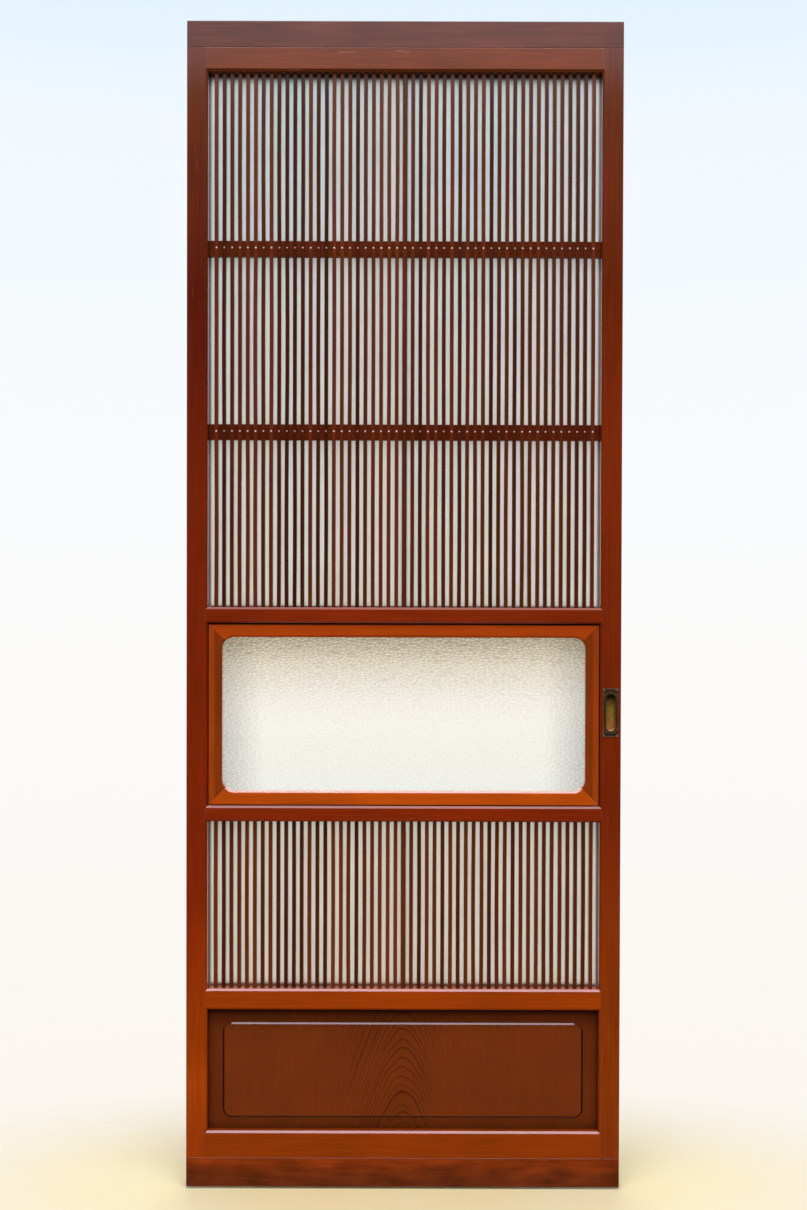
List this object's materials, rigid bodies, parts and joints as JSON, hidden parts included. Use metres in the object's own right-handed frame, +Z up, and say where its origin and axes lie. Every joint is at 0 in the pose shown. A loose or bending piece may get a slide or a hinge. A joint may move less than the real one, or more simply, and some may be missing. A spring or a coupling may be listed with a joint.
{
  "type": "sliding lattice door leaf",
  "caption": "Tall sliding door leaf with close-set upright lattice bars over frosted panes, a mitred sash of figured glass, a raised kick panel, a flush pull and sill rollers.",
  "frame": {"origin": "on the sill rail, under the middle of the leaf's width and thickness", "axes": "+X across the leaf towards the stile with the pull, +Y from the front face to the back, +Z up"},
  "size_m": [0.69, 0.0362, 1.853],
  "materials": {
    "frame_wood": "red-brown stained softwood under satin lacquer",
    "top_strip_wood": "worn grey-brown stained softwood, level grain",
    "bottom_strip_wood": "darker mottled red stain, level grain",
    "lattice_wood": "brown-red stained thin softwood bars",
    "sash_wood": "orange stained moulding under satin lacquer",
    "panel_wood": "flame-grained board under satin lacquer",
    "bead_wood": "plain stained beads and battens",
    "frosted_glass": "sand-ground pale sheet glass",
    "figured_glass": "clear rolled glass with a fine pebbled face",
    "dark_brass": "darkened chased brass",
    "bright_brass": "worn golden brass",
    "nail_steel": "small bright round heads",
    "screw_steel": "plain countersunk screws",
    "case_steel": "pressed sheet steel"
  },
  "bodies": {
    "leaf": {"left_stile": "frame_wood", "right_stile": "frame_wood", "bottom_rail": "frame_wood", "panel_rail": "frame_wood", "lower_sash_rail": "frame_wood", "upper_sash_rail": "frame_wood", "top_rail": "frame_wood", "top_strip": "top_strip_wood", "bottom_strip": "bottom_strip_wood", "upper_lattice_bars": "lattice_wood", "lower_lattice_bars": "lattice_wood", "upper_cross_rail": "lattice_wood", "lower_cross_rail": "lattice_wood", "upper_muntin": "lattice_wood", "lower_muntin": "lattice_wood", "sash_top": "sash_wood", "sash_bottom": "sash_wood", "sash_left": "sash_wood", "sash_right": "sash_wood", "kick_panel": "panel_wood", "upper_bead_top": "bead_wood", "upper_bead_bottom": "bead_wood", "upper_bead_left": "bead_wood", "upper_bead_right": "bead_wood", "upper_muntin_cap": "bead_wood", "lower_bead_top": "bead_wood", "lower_bead_bottom": "bead_wood", "lower_bead_left": "bead_wood", "lower_bead_right": "bead_wood", "lower_muntin_cap": "bead_wood", "sash_batten_top": "bead_wood", "sash_batten_bottom": "bead_wood", "sash_batten_left": "bead_wood", "sash_batten_right": "bead_wood", "upper_left_pane": "frosted_glass", "upper_right_pane": "frosted_glass", "lower_left_pane": "frosted_glass", "lower_right_pane": "frosted_glass", "figured_glass": "figured_glass", "front_pull_plate": "dark_brass", "back_pull_plate": "dark_brass", "front_pull_cup": "bright_brass", "back_pull_cup": "bright_brass", "pull_nails": "bright_brass", "lattice_nails": "nail_steel", "bottom_strip_screws": "screw_steel", "top_strip_screws": "screw_steel", "roller_screws": "screw_steel", "left_roller_case": "case_steel", "right_roller_case": "case_steel", "left_roller_axle": "case_steel", "right_roller_axle": "case_steel"},
    "left_wheel": {"left_roller_wheel": "bright_brass"},
    "right_wheel": {"right_roller_wheel": "bright_brass"}
  },
  "joints": [
    {"name": "left_wheel_spin", "type": "hinge", "parent": "leaf", "child": "left_wheel", "pos_m": [-0.275, 0, 0.016], "axis": [0, 1, 0], "continuous": true},
    {"name": "right_wheel_spin", "type": "hinge", "parent": "leaf", "child": "right_wheel", "pos_m": [0.275, 0, 0.016], "axis": [0, 1, 0], "continuous": true}
  ]
}
